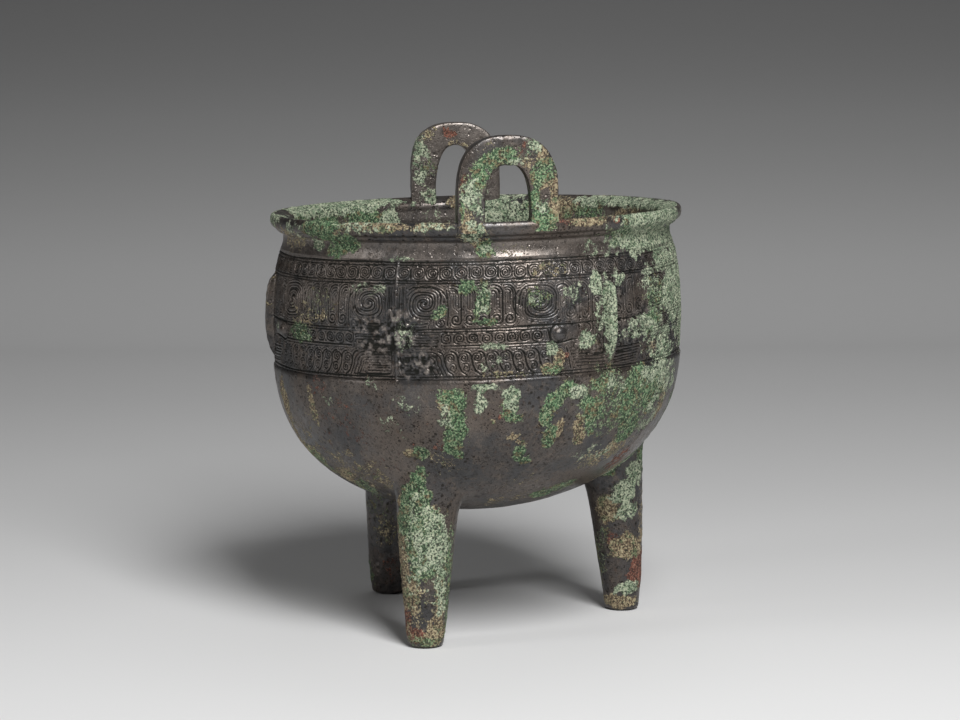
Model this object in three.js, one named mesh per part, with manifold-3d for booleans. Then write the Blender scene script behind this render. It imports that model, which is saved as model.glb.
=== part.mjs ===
// A round bronze ding: a deep bowl with an everted lip, two loop handles standing
// on the lip and three tapering legs, cast together as one piece.
// Millimetres, +Z up. The origin is on the bowl's axis at the level of the feet.
// The handles stand on the X axis and the first leg is on -Y.
import * as THREE from 'three';
import { mergeVertices } from 'three/addons/utils/BufferGeometryUtils.js';
import Module from 'manifold-3d';

const wasm = await Module();
wasm.setup();

// ---- driving dimensions -------------------------------------------------------
const AROUND = 80;            // facets round the bowl

const LIP_RADIUS = 85.1;      // widest point of the rounded lip
const LIP_TOP = 171.8;        // outer edge of the lip, the highest part of the bowl
const LIP_LOW = 164.6;        // where the lip meets the neck
const LIP_INNER_RADIUS = 77.3;
const LIP_INNER_TOP = 169.3;  // the lip's top slopes down to this inner edge

const NECK_RADIUS = 80.3;     // narrowest part of the concave neck
const NECK_Z = 161.5;

const WALL = 3.6;             // thickness of the cast wall
const FLOOR = 4.2;            // thickness at the bottom of the bowl
const ROOTING = 1.2;          // how deep legs, flanges and eyes are left in the wall

const BOWL_RADIUS = 85;       // radius the round bottom grows to
const BOWL_BOTTOM = 45.2;     // underside of the bowl on the axis
const BOWL_MIDDLE = 120;      // height at which the bottom curve becomes upright
const BOWL_FULLNESS = 2.45;   // exponent of the bottom curve; 2 is an ellipse
const BOWL_STEPS = 10;

const GROOVE_DEPTH = 0.6;
const GROOVE_WIDTH = 1.2;

// the ornament band as [height, radius], from its lower border up to its upper one
const BAND = [
  [111.4, 84.3],
  [128.0, 85.0],
  [140.0, 84.3],
  [149.2, 83.4],
  [156.4, 81.6],
];
const BAND_GROOVES = [0, 3, 4];   // the entries of BAND that are border grooves

const LEG_ANGLES = [-90, 30, 150];
// a leg's round sections as [height, section radius, distance from the bowl's axis]
const LEG_SECTIONS = [
  [0, 6.6, 61.9],
  [12, 7.7, 61.5],
  [24, 8.9, 60.8],
  [36, 10.2, 59.9],
  [48, 11.7, 58.8],
  [60, 12.8, 57.6],
  [74, 13.4, 56.4],
];
const LEG_FACETS = 20;

const HANDLE_ANGLES = [0, 180];
const HANDLE_HALF_WIDTH = 20;
const HANDLE_TOP = 205.2;
const HANDLE_SHOULDER = 180;      // height above which the outline rounds over
const HANDLE_ROUNDNESS = 2.7;
const OPENING_HALF_WIDTH = 8.9;
const OPENING_TOP = 194;
const OPENING_SHOULDER = 176;
const OPENING_ROUNDNESS = 3.1;
const HANDLE_FOOT = 167.2;        // the straps are rooted in the lip down to here
const HANDLE_INNER = 76;          // distance of the inner face from the axis
const HANDLE_THICK = 8.5;
const HANDLE_EDGE = 0.8;          // bevel on the strap's edges
const ARCH_STEPS = 7;             // steps in each half of an arch

const FLANGE_ANGLES = [90, 210, 330];
const FLANGE_WIDTH = 3.3;
const FLANGE_ROOT = 82.6;         // radius inside the wall where a flange is rooted
// a flange's edge as [radius, height], from its lower end up
const FLANGE_EDGE = [
  [84.3, 114.2],
  [86.4, 117.1],
  [87.6, 121.3],
  [88.1, 126.0],
  [87.8, 136.0],
  [86.9, 142.8],
  [85.9, 145.4],
  [83.5, 148.4],
];

const EYE_OFFSET = 16;            // degrees from a flange to the eyes of its mask
const EYE_HEIGHT = 128;
const EYE_RADIUS = 3.2;
const EYE_CENTRE = 83.4;          // the eye's sphere is sunk in the wall to this radius

const rad = THREE.MathUtils.degToRad;

// ---- solids -------------------------------------------------------------------
function solidFrom(geometry) {
  const bare = geometry.clone();
  bare.deleteAttribute('normal');
  bare.deleteAttribute('uv');
  const merged = mergeVertices(bare, 1e-4);
  const mesh = new wasm.Mesh({
    numProp: 3,
    vertProperties: new Float32Array(merged.attributes.position.array),
    triVerts: new Uint32Array(merged.index.array),
  });
  return new wasm.Manifold(mesh);
}

function geometryFrom(solid) {
  const mesh = solid.getMesh();
  const geometry = new THREE.BufferGeometry();
  geometry.setAttribute('position', new THREE.BufferAttribute(mesh.vertProperties, 3));
  geometry.setIndex(new THREE.BufferAttribute(mesh.triVerts, 1));
  geometry.computeVertexNormals();
  return geometry;
}

// turns a profile of [radius, height] points round the Z axis
function turned(profile) {
  const points = profile.map(([r, z]) => new THREE.Vector2(r, z));
  return new THREE.LatheGeometry(points, AROUND).rotateX(Math.PI / 2);
}

// ---- profiles -----------------------------------------------------------------
// the round bottom, from the axis outwards
function bottomCurve(radius, bottom) {
  const points = [];
  for (let i = 0; i <= BOWL_STEPS; i += 1) {
    const angle = rad(90 - (84 * i) / BOWL_STEPS);
    const drop = Math.sin(angle);
    const reach = Math.sqrt(1 - drop ** BOWL_FULLNESS);
    points.push([radius * reach, BOWL_MIDDLE - (BOWL_MIDDLE - bottom) * drop]);
  }
  points[0][0] = 0;
  return points;
}

function bandProfile() {
  const points = [];
  BAND.forEach(([z, r], i) => {
    if (BAND_GROOVES.includes(i)) {
      points.push([r, z - GROOVE_WIDTH / 2]);
      points.push([r - GROOVE_DEPTH, z]);
      points.push([r, z + GROOVE_WIDTH / 2]);
    } else {
      points.push([r, z]);
    }
  });
  return points;
}

function lipProfile() {
  return [
    [NECK_RADIUS, NECK_Z],
    [NECK_RADIUS + 0.4, LIP_LOW - 0.6],
    [LIP_RADIUS - 2.7, LIP_LOW],
    [LIP_RADIUS - 2.4, LIP_LOW + 1.3],
    [LIP_RADIUS - 0.6, LIP_LOW + 1.8],
    [LIP_RADIUS, LIP_LOW + 4],
    [LIP_RADIUS - 0.2, LIP_TOP - 1],
    [LIP_RADIUS - 0.9, LIP_TOP],
    [LIP_INNER_RADIUS + 0.6, LIP_INNER_TOP],
    [LIP_INNER_RADIUS - 0.3, LIP_INNER_TOP - 0.8],
  ];
}

// the inside from the lip down to the axis, at a depth measured from the outside
function insideProfile(wall, floor) {
  return [
    [NECK_RADIUS - wall, LIP_LOW - 1],
    [NECK_RADIUS - wall, NECK_Z],
    [BAND[3][1] - wall, BAND[3][0]],
    [BAND[1][1] - wall, BAND[1][0]],
    ...bottomCurve(BOWL_RADIUS - wall, BOWL_BOTTOM + floor).reverse(),
  ];
}

// ---- sub-parts ----------------------------------------------------------------
function bowl() {
  const outer = [...bottomCurve(BOWL_RADIUS, BOWL_BOTTOM), ...bandProfile(), ...lipProfile()];
  return solidFrom(turned([...outer, ...insideProfile(WALL, FLOOR)]));
}

// fills the bowl to the middle of its wall; what is rooted in the wall is cut off there
function core() {
  const profile = insideProfile(WALL - ROOTING, FLOOR - ROOTING).reverse();
  return solidFrom(turned([...profile, [0, LIP_LOW - 1]]));
}

// one closed skin over a column of round sections
function leg() {
  const positions = [];
  const triangles = [];
  LEG_SECTIONS.forEach(([z, radius, out]) => {
    for (let j = 0; j < LEG_FACETS; j += 1) {
      const a = (2 * Math.PI * j) / LEG_FACETS;
      positions.push(out + radius * Math.cos(a), radius * Math.sin(a), z);
    }
  });
  for (let i = 0; i + 1 < LEG_SECTIONS.length; i += 1) {
    for (let j = 0; j < LEG_FACETS; j += 1) {
      const next = (j + 1) % LEG_FACETS;
      const a = i * LEG_FACETS + j;
      const b = i * LEG_FACETS + next;
      triangles.push(a, b, b + LEG_FACETS, a, b + LEG_FACETS, a + LEG_FACETS);
    }
  }
  const top = (LEG_SECTIONS.length - 1) * LEG_FACETS;
  for (let j = 1; j + 1 < LEG_FACETS; j += 1) {
    triangles.push(0, j + 1, j, top, top + j, top + j + 1);
  }
  const geometry = new THREE.BufferGeometry();
  geometry.setAttribute('position', new THREE.Float32BufferAttribute(positions, 3));
  geometry.setIndex(triangles);
  return geometry;
}

// one side of an arch that stands upright to its shoulder and then rounds over
function archHalf(halfWidth, shoulder, top, roundness, sign) {
  const points = [new THREE.Vector2(sign * halfWidth, HANDLE_FOOT)];
  for (let i = 0; i < ARCH_STEPS; i += 1) {
    const rise = Math.sin((Math.PI / 2) * (i / ARCH_STEPS));
    const reach = (1 - rise ** roundness) ** (1 / roundness);
    points.push(new THREE.Vector2(sign * halfWidth * reach, shoulder + (top - shoulder) * rise));
  }
  return points;
}

function arch(halfWidth, shoulder, top, roundness) {
  const right = archHalf(halfWidth, shoulder, top, roundness, 1);
  const left = archHalf(halfWidth, shoulder, top, roundness, -1).reverse();
  return [...right, new THREE.Vector2(0, top), ...left];
}

// a flat strap bent into a loop, standing on the lip with its face along Y
function handle() {
  const e = HANDLE_EDGE;
  const outer = arch(HANDLE_HALF_WIDTH - e, HANDLE_SHOULDER, HANDLE_TOP - e, HANDLE_ROUNDNESS);
  const inner = arch(OPENING_HALF_WIDTH + e, OPENING_SHOULDER, OPENING_TOP + e, OPENING_ROUNDNESS);
  const shape = new THREE.Shape([...outer, ...inner.reverse()]);
  const geometry = new THREE.ExtrudeGeometry(shape, {
    depth: HANDLE_THICK - 2 * e,
    bevelEnabled: true,
    bevelSize: e,
    bevelThickness: e,
    bevelSegments: 1,
  });
  geometry.rotateX(Math.PI / 2);
  geometry.rotateZ(Math.PI / 2);
  geometry.translate(HANDLE_INNER + e, 0, 0);
  return geometry;
}

// an upright ridge on the band, standing on the X axis
function flange() {
  const edge = FLANGE_EDGE.map(([r, z]) => new THREE.Vector2(r, z));
  const top = edge[edge.length - 1].y;
  const root = [new THREE.Vector2(FLANGE_ROOT, top), new THREE.Vector2(FLANGE_ROOT, edge[0].y)];
  const geometry = new THREE.ExtrudeGeometry(new THREE.Shape([...edge, ...root]), {
    depth: FLANGE_WIDTH,
    bevelEnabled: false,
  });
  geometry.rotateX(Math.PI / 2);
  geometry.translate(0, FLANGE_WIDTH / 2, 0);
  return geometry;
}

function eye() {
  return new THREE.IcosahedronGeometry(EYE_RADIUS, 1).translate(EYE_CENTRE, 0, EYE_HEIGHT);
}

// copies of one shape turned round the bowl's axis
function around(makeShape, angles) {
  return angles.map((angle) => solidFrom(makeShape().rotateZ(rad(angle))));
}

function vessel() {
  const inside = core();
  const eyeAngles = FLANGE_ANGLES.flatMap((angle) => [angle - EYE_OFFSET, angle + EYE_OFFSET]);
  const raised = [
    ...around(leg, LEG_ANGLES),
    ...around(flange, FLANGE_ANGLES),
    ...around(eye, eyeAngles),
  ];
  let solid = bowl();
  raised.forEach((piece) => {
    solid = solid.add(piece.subtract(inside));
  });
  around(handle, HANDLE_ANGLES).forEach((piece) => {
    solid = solid.add(piece);
  });
  return solid;
}

// ---- scene graph --------------------------------------------------------------
const patinatedBronze = new THREE.MeshStandardMaterial({
  color: 0x4b463f,
  roughness: 0.55,
  metalness: 0.75,
});

const body = new THREE.Mesh(geometryFrom(vessel()), patinatedBronze);
body.name = 'ding_vessel';

const group = new THREE.Group();
group.add(body);

export default group;
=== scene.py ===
import math

import bpy
import numpy as np
from mathutils import Matrix, Vector


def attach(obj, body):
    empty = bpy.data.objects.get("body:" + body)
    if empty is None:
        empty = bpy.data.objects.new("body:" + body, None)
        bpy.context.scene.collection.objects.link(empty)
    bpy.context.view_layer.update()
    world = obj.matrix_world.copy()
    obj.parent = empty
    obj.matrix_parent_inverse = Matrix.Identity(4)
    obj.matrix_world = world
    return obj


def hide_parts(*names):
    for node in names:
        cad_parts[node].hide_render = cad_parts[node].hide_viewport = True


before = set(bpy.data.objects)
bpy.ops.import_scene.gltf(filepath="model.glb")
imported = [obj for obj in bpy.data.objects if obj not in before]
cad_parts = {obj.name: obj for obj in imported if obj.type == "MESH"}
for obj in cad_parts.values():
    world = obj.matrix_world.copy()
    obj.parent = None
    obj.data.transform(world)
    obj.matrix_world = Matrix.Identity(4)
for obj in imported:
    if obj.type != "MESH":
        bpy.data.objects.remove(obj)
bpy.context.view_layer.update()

SPARSE = 1      # coarser grids while trying things

# ---- the vessel, in millimetres; angles are in degrees from the side that faces the camera ----
FRONT = 171.0                        # direction of that side in the frame
LEG_AT = (-20.2, 99.8, 219.8)
HANDLE_AT = ((8.6, 0.0), (186.6, -0.6))
SEAM_AT = (-22.0, 98.0, 217.5)       # mould seams, between the masks
FLANGE_AT = (38.0, 157.5, 277.5)     # noses of the masks
BOWL_RADIUS, BOWL_BOTTOM, BOWL_MIDDLE, FULLNESS = 85.0, 46.8, 120.0, 2.58
WALL, FLOOR = 3.6, 4.2
BAND_LOW, BAND_HIGH = 110.4, 157.2
BAND_ROWS, BAND_COLUMNS = 160 // SPARSE, 1800 // SPARSE
UNIT = 88.3                          # length of half a mask along the band
MM_PER_DEGREE = 1.471                # along the band
EYE_X, EYE_Z = 65.2, 127.0           # middle of an eye, along half a mask and up
SPOTS_SEED, CRUST_SEED, SKIN_SEED = 11, 21, 41      # the same for bowl and band, which meet


# ---- noise -------------------------------------------------------------------------------
def lattice(x, y, z, seed):
    """A repeatable random value from -1 to 1 at every whole-numbered point."""
    with np.errstate(over="ignore"):
        n = x.astype(np.uint32) * np.uint32(0x8DA6B343)
        n ^= y.astype(np.uint32) * np.uint32(0xD8163841)
        n ^= z.astype(np.uint32) * np.uint32(0xCB1AB31F)
        n ^= np.uint32(seed * 7919 + 17)
        for shift, factor in ((15, 0x2C1B3C6D), (12, 0x297A2D39), (15, 1)):
            n ^= n >> np.uint32(shift)
            n *= np.uint32(factor)
    return n / 2147483647.5 - 1


def noise(points, size, seed):
    """Smooth noise from -1 to 1 with lumps about size across."""
    q = points / size
    cell = np.floor(q).astype(np.int64)
    f = q - cell
    f = f * f * (3 - 2 * f)
    total = np.zeros(len(points))
    for corner in range(8):
        d = (corner & 1, corner >> 1 & 1, corner >> 2)
        weight = np.ones(len(points))
        for axis in range(3):
            weight *= f[:, axis] if d[axis] else 1 - f[:, axis]
        total += weight * lattice(cell[:, 0] + d[0], cell[:, 1] + d[1], cell[:, 2] + d[2], seed)
    return total


def fbm(points, size, seed, octaves):
    """Noise with finer and weaker layers added to it."""
    total, share, norm = 0.0, 1.0, 0.0
    for k in range(octaves):
        total = total + share * noise(points, size / 2**k, seed + 31 * k)
        norm += share
        share *= 0.55
    return total / norm * 1.6


def smoothstep(low, high, x):
    t = np.clip((x - low) / (high - low), 0, 1)
    return t * t * (3 - 2 * t)


# ---- ornament: strokes cut into the band ---------------------------------------------------
def spiral(x, z, w, h, turns, end=0.0, hand=1, square=3.4, inner=0.12):
    """A groove wound outwards into a rounded square, ending at the angle end."""
    a = np.linspace(end - turns * 2 * math.pi, end, int(turns * 26))
    t = np.linspace(inner, 1, len(a))
    p = 2 + (square - 2) * t**2
    c, s = np.cos(a), np.sin(a)
    r = t * (np.abs(c) ** p + np.abs(s) ** p) ** (-1 / p)
    return np.stack([x + hand * w * r * c, z + h * r * s], -1)


def arc(x, z, w, h, start, end, n=14):
    a = np.radians(np.linspace(start, end, n))
    return np.stack([x + w * np.cos(a), z + h * np.sin(a)], -1)


def line(*points):
    out = []
    for a, b in zip(points, points[1:]):
        n = max(2, int(math.dist(a, b) / 1.2))
        t = np.linspace(0, 1, n)[:, None]
        out.append(np.array(a) * (1 - t) + np.array(b) * t)
    return np.concatenate(out)


def top_row():
    """The narrow row of spirals in pairs above the masks."""
    strokes = []
    count = 15
    pitch = UNIT / count
    for i in range(count):
        x, hand = (i + 0.5) * pitch, 1 if i % 2 else -1
        end = math.pi / 2 if i % 3 else -math.pi / 2
        strokes.append((spiral(x, 152.2, 2.8, 2.6, 2.9, end, hand, 3.2, 0.1), 0.40))
        if i % 2:
            side = x - pitch / 2
            strokes.append((line((side, 150.2), (side, 154.2)), 0.42))
    return strokes


def big_spirals():
    """The two large spirals of half a mask, each wound from two grooves that start hooked together."""
    strokes = []
    for x, z, w, h, turns, end in ((11.9, 140.6, 7.6, 6.6, 2.3, 2.4), (57.4, 139.8, 8.4, 7.3, 2.6, 3.2)):
        strokes += [
            (spiral(x, z, w, h, turns, end, 1, 3.8, 0.03), 0.5),
            (spiral(x, z, w * 0.9, h * 0.9, turns - 0.25, end + 2.6, 1, 3.6, 0.03), 0.5),
        ]
    strokes += [(arc(12.6, 139.6, 8.9, 8, 20, 150), 0.4), (arc(56.5, 139.6, 10, 8, 140, 215), 0.42)]
    return strokes + [(line((x, 131.8), (x, 146.8)), 0.36) for x in (1.5, 2.5, 3.4)]


def plume(x, foot, top):
    """An upright feather: a curl at its foot, a stem, and nested hooks at its head."""
    curl = spiral(x - 2.3, foot, 2.1, 2.3, 1.5, 0.0, 1, 2.6, 0.16)
    head = arc(x - 3.6, top - 3.4, 3.4, 3.4, 0, 105)
    strokes = [(np.concatenate([curl, head]), 0.46)]
    for k in (1, 2):
        inner = 3.4 - 1.08 * k
        side, low = x - 0.2 - 1.08 * k, foot + 3.4 + 0.7 * k
        strokes.append((line((side, low), (side, top - 3.6)), 0.26))
        strokes.append((arc(x - 3.6, top - 3.4, inner, inner, 0, 110), 0.42))
    return strokes


def plumes():
    """The plumes between the two large spirals, and the curls at their left."""
    strokes = []
    for i, x in enumerate((26.6, 32.2, 37.5, 42.5, 47.9)):
        strokes += plume(x, 134.3, 147.4 - 0.2 * (i % 2))
    strokes += [
        (spiral(18.4, 132.9, 2, 1.7, 1.5, 0.4, -1, 2.5, 0.2), 0.44),
        (line((21.1, 131.8), (21.3, 139), (20.6, 145.5)), 0.42),
    ]
    return strokes + [(arc(9, 136.6 - 1.2 * k, 8.4 - 0.6 * k, 4, 215, 300), 0.44) for k in range(3)]


def nose_side():
    """Hooks and small squares between the large spiral and the nose."""
    strokes = [
        (arc(67, 143, 3.2, 3.4, -10, 130), 0.46),
        (arc(67.2, 142.4, 2.1, 2.4, -10, 130), 0.42),
        (line((70.3, 142.4), (70.4, 138.6)), 0.42),
        (spiral(70.3, 135.4, 2.5, 2.5, 2, 1.5, 1, 3), 0.46),
        (line((74.2, 147), (74.2, 131.6)), 0.5),
        (arc(75.6, 143.6, 2.6, 3, 0, 110), 0.42),
        (spiral(76.8, 134.6, 1.8, 2.2, 1.6, 0.0, 1, 2.8), 0.44),
        (line((78.6, 134.6), (78.5, 143.4)), 0.44),
        (line((80.3, 147.4), (80.3, 119.4)), 0.5),
        (line((85.6, 147.4), (85.6, 117.6)), 0.5),
        (line((80.3, 117.6), (85.6, 117.6)), 0.46),
    ]
    for k, z in enumerate((144.4, 139.4, 134.6, 129, 124.6, 120.6)):
        strokes.append((spiral(83, z, 1.7, 1.7, 1.3, 1.6 * k, 1 if k % 2 else -1, 3.2, 0.2), 0.44))
    return strokes


def middle_row():
    """The row of small spirals beside the eye, and the hatching below the first large spiral."""
    strokes = [(line((19.6, 124.2), (61.5, 124.2)), 0.5), (line((6, 129.6), (61.5, 129.6)), 0.42)]
    for i in range(8):
        end = (1.6, 4.7, 0.2)[i % 3]
        strokes.append((spiral(20.6 + 5.1 * i, 126.9, 2.35, 2.15, 2.2, end, 1 if i % 2 else -1), 0.46))
    for k in range(5):
        z = 128.6 - 1.1 * k
        strokes.append((line((6.6, z), (17.2 - 0.5 * (k % 2), z)), 0.46))
    return strokes + [
        (arc(17.2, 128.05, 0.7, 0.55, -90, 90, 6), 0.4),
        (arc(17, 125.85, 0.7, 0.55, -90, 90, 6), 0.4),
        (arc(7.4, 127, 3.4, 4.6, 150, 265), 0.46),
        (line((60.4, 129), (61.4, 124.6)), 0.46),
    ]


def bottom_row():
    """Slanting feathers with curled heads, and the nested claws beside the seam."""
    strokes = [(line((1.9, 122), (1.9, 114.8), (2.6, 113.3), (4.2, 112.9), (19, 112.9)), 0.5)]
    for i in range(9):
        x = 21.4 + 5.3 * i
        top = arc(x - 4.4, 119.2, 2.6, 2.6, 90, 0, 8)
        stem = line((x - 1.8, 119.2), (x - 1.3, 116.4), (x - 0.1, 114), (x + 1.8, 112.6))
        strokes += [
            (np.concatenate([top, stem]), 0.56),
            (spiral(x + 0.6, 119.3, 1.9, 1.9, 1.9, math.pi, 1, 3.2, 0.12), 0.40),
            (spiral(x + 1.6, 115.3, 1.7, 1.9, 1.5, 2.2, 1, 2.4, 0.16), 0.40),
        ]
    for k in range(4):
        d = 1.15 * k
        bend = arc(13.6 - 0.2 * k, 117, 4.9 - d, 4.8 - d, 90, 0, 10)
        claw = line((1.6 + d, 121.8 - d), (13, 121.8 - d))
        tail = line((18.4 - 1.2 * d, 117), (20.4 - 1.2 * d, 112.7))
        strokes.append((np.concatenate([claw, bend, tail]), 0.48))
    strokes += [(line((2.4, 116.6 - 1.15 * k), (11.6 + 0.5 * k, 116.6 - 1.15 * k)), 0.42) for k in range(4)]
    strokes += [(line((70 + 0.6 * k, 119.9 - 1.2 * k), (86.2, 119.2 - 1.2 * k)), 0.46) for k in range(6)]
    return strokes + [
        (line((68.4, 121.2), (69.4, 117.4), (70.4, 113)), 0.46),
        (spiral(72.8, 122, 1.9, 1.5, 1.4, 0.5, 1, 2.6, 0.2), 0.44),
        (spiral(77.4, 122, 1.7, 1.5, 1.4, 2.5, -1, 2.6, 0.2), 0.44),
    ]


def eye_outline():
    """The groove round an eye and the corner it tapers into."""
    below = [arc(EYE_X, EYE_Z, 3.9, 3.6, 95, 275, 20), line((65.6, 123.4), (70, 124.2), (77, 124.8))]
    above = [line((64.8, 130.4), (76.6, 130.7)), arc(76.6, 128.6, 2.6, 2.1, 90, -60, 10)]
    return [(np.concatenate(below), 0.6), (np.concatenate(above), 0.5)]


def half_mask():
    return top_row() + big_spirals() + plumes() + nose_side() + middle_row() + bottom_row() + eye_outline()


def cut_depth(strokes, xs, zs, seed):
    """How deep each point of a grid is cut, from 0 to 1, by strokes that waver like hand carving.
    Fine lines follow the strokes wherever there is room for them."""
    rng = np.random.default_rng(seed)
    gap = np.full((len(xs), len(zs)), 9.0)
    reach = 2.4
    for points, width in strokes:
        points = points + rng.normal(0, 0.10, 2)
        phase = rng.uniform(0, 6, 2)
        points = points + 0.07 * np.sin(points[:, ::-1] * 0.9 + phase)
        width = width * rng.uniform(0.88, 1.12)
        low, high = points.min(0) - reach, points.max(0) + reach
        i = np.flatnonzero((xs > low[0]) & (xs < high[0]))
        j = np.flatnonzero((zs > low[1]) & (zs < high[1]))
        if not len(i) or not len(j):
            continue
        gx, gz = np.meshgrid(xs[i], zs[j], indexing="ij")
        best = np.full(gx.shape, 9.0)
        for (ax, az), (bx, bz) in zip(points, points[1:]):
            dx, dz = bx - ax, bz - az
            size = dx * dx + dz * dz + 1e-9
            near = (np.abs(gx - (ax + bx) / 2) < abs(dx) / 2 + reach)
            near &= (np.abs(gz - (az + bz) / 2) < abs(dz) / 2 + reach)
            px, pz = gx[near] - ax, gz[near] - az
            t = np.clip((px * dx + pz * dz) / size, 0, 1)
            best[near] = np.minimum(best[near], np.hypot(px - t * dx, pz - t * dz))
        block = np.ix_(i, j)
        gap[block] = np.minimum(gap[block], best - width / 2)
    cut = 1 - smoothstep(-0.17, 0.2, gap)
    for far, deep in ((0.78, 0.75), (1.55, 0.6)):
        cut = np.maximum(cut, deep * (1 - smoothstep(0.02, 0.26, np.abs(gap - far))))
    return cut


# ---- corrosion: patches laid on a surface in millimetres along it and up it --------------------
GREEN, PALE, OCHRE, RED = range(4)


def patches(u, v, points, specs, seed):
    """Cover from 0 to 1 of each kind, with ragged edges, at points that lie u along the surface and v up
    it, from patches of (u, v, half width, half height, lean, kind, strength)."""
    cover = np.zeros((len(u), 4))
    ragged = 0.42 * fbm(points, 7.0, seed, 4) + 0.26 * fbm(points, 1.7, seed + 5, 2)
    for pu, pv, w, h, lean, kind, strength in specs:
        reach = 2.0 * max(w, h) + 2
        near = (np.abs(u - pu) < reach) & (np.abs(v - pv) < reach)
        if not near.any():
            continue
        a = math.radians(lean)
        du, dv = u[near] - pu, v[near] - pv
        along = (du * math.cos(a) + dv * math.sin(a)) / w
        across = (dv * math.cos(a) - du * math.sin(a)) / h
        distance = np.sqrt(along**2 + across**2) + ragged[near]
        cover[near, kind] = np.maximum(cover[near, kind], strength * smoothstep(1.75, 0.60, distance))
    return cover


def listed(groups):
    """Patches from groups: a kind, then rows of place along, height, half width, half height, strength
    and, for a patch that isn't level, its lean in degrees."""
    return [(u, v, w, h, lean[0] if lean else 0, kind, strength)
            for kind, *rows in groups for u, v, w, h, strength, *lean in rows]


def crust_height(cover, points, seed):
    """Thickness of the corrosion in millimetres."""
    body = cover[:, GREEN] * 0.42 + cover[:, PALE] * 0.36 + cover[:, OCHRE] * 0.38 + cover[:, RED] * 0.14
    grains = 0.5 + 0.6 * fbm(points, 2.2, seed, 3)
    return np.minimum(body, 0.6) * grains


def skin(points, amount, seed):
    """The uneven surface of the old casting."""
    return amount * (0.6 * fbm(points, 14.0, seed, 3) + 0.25 * fbm(points, 2.6, seed + 3, 2))


def pits(points, size, depth, seed):
    """Small sharp-edged hollows."""
    where = smoothstep(0.6, 1.0, 0.75 + 0.5 * fbm(points, size * 9, seed, 2))
    return -depth * where * smoothstep(0.30, 0.75, noise(points, size, seed + 9))


# ---- placing -----------------------------------------------------------------------------
def facing(angle):
    """Unit vector in the floor plane for an angle from the front."""
    a = math.radians(FRONT + angle)
    return np.array([math.cos(a), math.sin(a), 0.0])


RIGHT = facing(90)


def settled(points):
    """The old bowl sits slightly askew on its legs, and its rim is not quite level."""
    across = points @ RIGHT
    lean = 0.0259 - 0.0103 * (np.clip(points[:, 2], 40, 210) - 110) / 60
    out = points.copy()
    out[:, 2] += across * lean * smoothstep(15, 55, points[:, 2])
    return out


def placed(name, data):
    """A new object in the scene."""
    made = bpy.data.objects.new(name, data)
    bpy.context.collection.objects.link(made)
    return made


# ---- meshes ------------------------------------------------------------------------------
def grid_faces(rows, columns, closed, flip=False):
    """Quads of a grid of points numbered row by row; closed joins the last column to the first."""
    i = np.arange(rows - 1)[:, None]
    j = np.arange(columns if closed else columns - 1)[None, :]
    k = (j + 1) % columns
    quads = np.stack([i * columns + j, i * columns + k, (i + 1) * columns + k, (i + 1) * columns + j], -1)
    quads = quads.reshape(-1, 4)
    return quads[:, ::-1] if flip else quads


def piece(name, points, smooth, flat, cover, cut, material):
    """A shown piece of the vessel, from points in millimetres and lists of equal-sided polygons."""
    polygons = smooth + flat
    mesh = bpy.data.meshes.new(name)
    mesh.vertices.add(len(points))
    mesh.vertices.foreach_set("co", (settled(points) * 0.001).astype(np.float32).ravel())
    loops = np.concatenate([p.ravel() for p in polygons])
    sizes = np.concatenate([np.full(len(p), p.shape[1]) for p in polygons])
    mesh.loops.add(len(loops))
    mesh.loops.foreach_set("vertex_index", loops.astype(np.int32))
    mesh.polygons.add(len(sizes))
    mesh.polygons.foreach_set("loop_start", (np.cumsum(sizes) - sizes).astype(np.int32))
    mesh.polygons.foreach_set("use_smooth", np.arange(len(sizes)) < sum(len(p) for p in smooth))
    mesh.update(calc_edges=True)
    mesh.validate()
    colours = mesh.attributes.new("cover", "FLOAT_COLOR", "POINT")
    colours.data.foreach_set("color", np.clip(cover, 0, 1).astype(np.float32).ravel())
    relief = mesh.attributes.new("cut", "FLOAT", "POINT")
    relief.data.foreach_set("value", cut.astype(np.float32))
    mesh.materials.append(material)
    made = placed(name, mesh)
    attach(made, "root")
    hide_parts("ding_vessel")


# ---- where the legs grow out of the bowl ---------------------------------------------------
# height, radius of the leg, distance from the vessel's axis
LEG_SECTIONS = ((0, 7.0, 61.9), (12, 8.4, 61.5), (24, 9.6, 60.8), (36, 10.6, 59.9), (48, 11.7, 58.8),
                (60, 12.7, 57.6), (74, 13.4, 56.4), (90, 13.9, 55.0))
FILLET = 7.5


def softened(gap):
    """How far two meeting surfaces swell where the other is within the fillet, so that they join smoothly."""
    return FILLET / 4 * np.clip(1 - np.abs(gap) / FILLET, 0, 1) ** 2


def leg_shape(z):
    """Radius of a leg and its distance from the axis at a height."""
    heights, radii, distances = np.array(LEG_SECTIONS, float).T
    return np.interp(z, heights, radii), np.interp(z, heights, distances)


def leg_gap(points):
    """Distance to the nearest leg."""
    radius, away = leg_shape(points[:, 2])
    gap = np.full(len(points), 99.0)
    for angle in LEG_AT:
        centre = away[:, None] * facing(angle)[None, :2]
        off = np.hypot(*(points[:, :2] - centre).T) - radius
        gap = np.minimum(gap, off)
    return gap


def bowl_gap(reach, z):
    """Distance outside the round bottom, for a distance from the axis and a height."""
    deep = BOWL_MIDDLE - BOWL_BOTTOM
    t = np.clip((BOWL_MIDDLE - z) / deep, 0, None)
    steep = np.hypot(2 * reach / BOWL_RADIUS**2, FULLNESS * t ** (FULLNESS - 1) / deep)
    return ((reach / BOWL_RADIUS) ** 2 + t**FULLNESS - 1) / steep


# ---- the bowl ----------------------------------------------------------------------------
def bottom_radius(z, radius=BOWL_RADIUS, bottom=BOWL_BOTTOM):
    t = np.clip((BOWL_MIDDLE - z) / (BOWL_MIDDLE - bottom), 0, 1)
    return radius * np.sqrt(1 - t**FULLNESS)


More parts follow.
